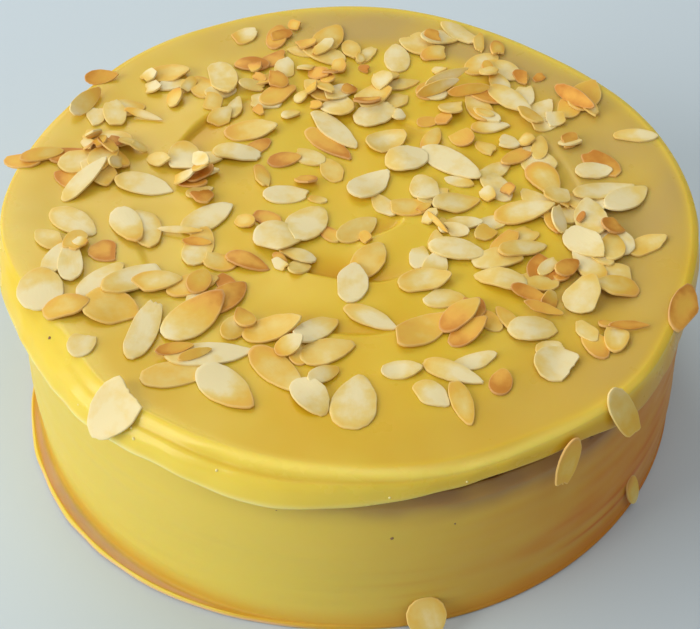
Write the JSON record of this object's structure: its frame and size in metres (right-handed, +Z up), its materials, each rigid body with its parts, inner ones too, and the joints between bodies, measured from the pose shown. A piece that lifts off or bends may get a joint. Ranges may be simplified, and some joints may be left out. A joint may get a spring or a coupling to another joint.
{
  "type": "almond custard cake",
  "caption": "Round sponge cake with a custard coat, a custard top that hangs over as a ledge, and toasted almond flakes.",
  "frame": {"origin": "middle of the sponge's flat foot, on the surface that the cake stands on", "axes": "+Z up, -Y towards the front, +X to the right of someone who looks at the front"},
  "size_m": [0.2108, 0.2102, 0.0762],
  "materials": {
    "sponge": "matt open crumb",
    "custard_side": "satin set custard",
    "custard_top": "satin set custard with almond flakes"
  },
  "bodies": {
    "root": {"sponge_cake": "sponge", "custard_coat": "custard_side", "custard_top": "custard_top"}
  },
  "joints": []
}
